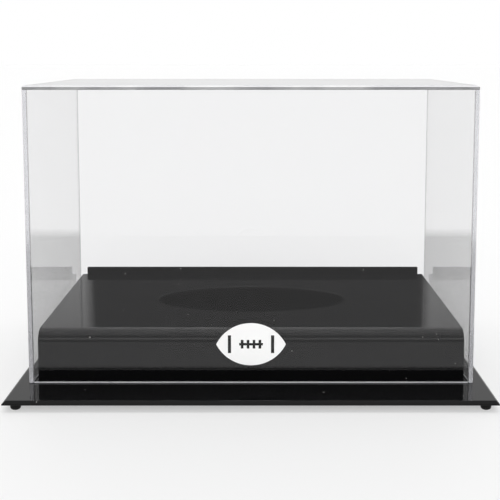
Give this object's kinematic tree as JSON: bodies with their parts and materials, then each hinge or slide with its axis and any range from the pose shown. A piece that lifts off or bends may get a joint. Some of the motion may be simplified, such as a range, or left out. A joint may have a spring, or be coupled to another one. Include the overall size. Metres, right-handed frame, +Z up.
{
  "type": "football display case",
  "caption": "Display case for an american football: a clear box cover that lifts off a bevelled black base plate with a raised platform and an oval rest, on round rubber feet.",
  "frame": {"origin": "centre of the case's footprint, on the surface that the feet stand on", "axes": "+X along the case's long side, to the viewer's right; -Y out of the front; +Z up"},
  "size_m": [0.3414, 0.2744, 0.222],
  "materials": {
    "clear_acrylic": "clear, polished",
    "black_acrylic": "black, high gloss",
    "white_film": "matt white vinyl film",
    "black_rubber": "satin black"
  },
  "bodies": {
    "base": {"base_plate": "black_acrylic", "riser_shell": "black_acrylic", "riser_left_end": "black_acrylic", "riser_right_end": "black_acrylic", "riser_back_panel": "black_acrylic", "foot_front_left": "black_rubber", "foot_front_right": "black_rubber", "foot_rear_left": "black_rubber", "foot_rear_right": "black_rubber"},
    "cover": {"top_panel": "clear_acrylic", "left_panel": "clear_acrylic", "right_panel": "clear_acrylic", "front_panel": "clear_acrylic", "back_panel": "clear_acrylic", "emblem_decal": "white_film"}
  },
  "joints": [
    {"name": "cover_lift", "type": "slide", "parent": "base", "child": "cover", "axis": [0, 0, 1], "range_m": [0, 0.24]}
  ]
}
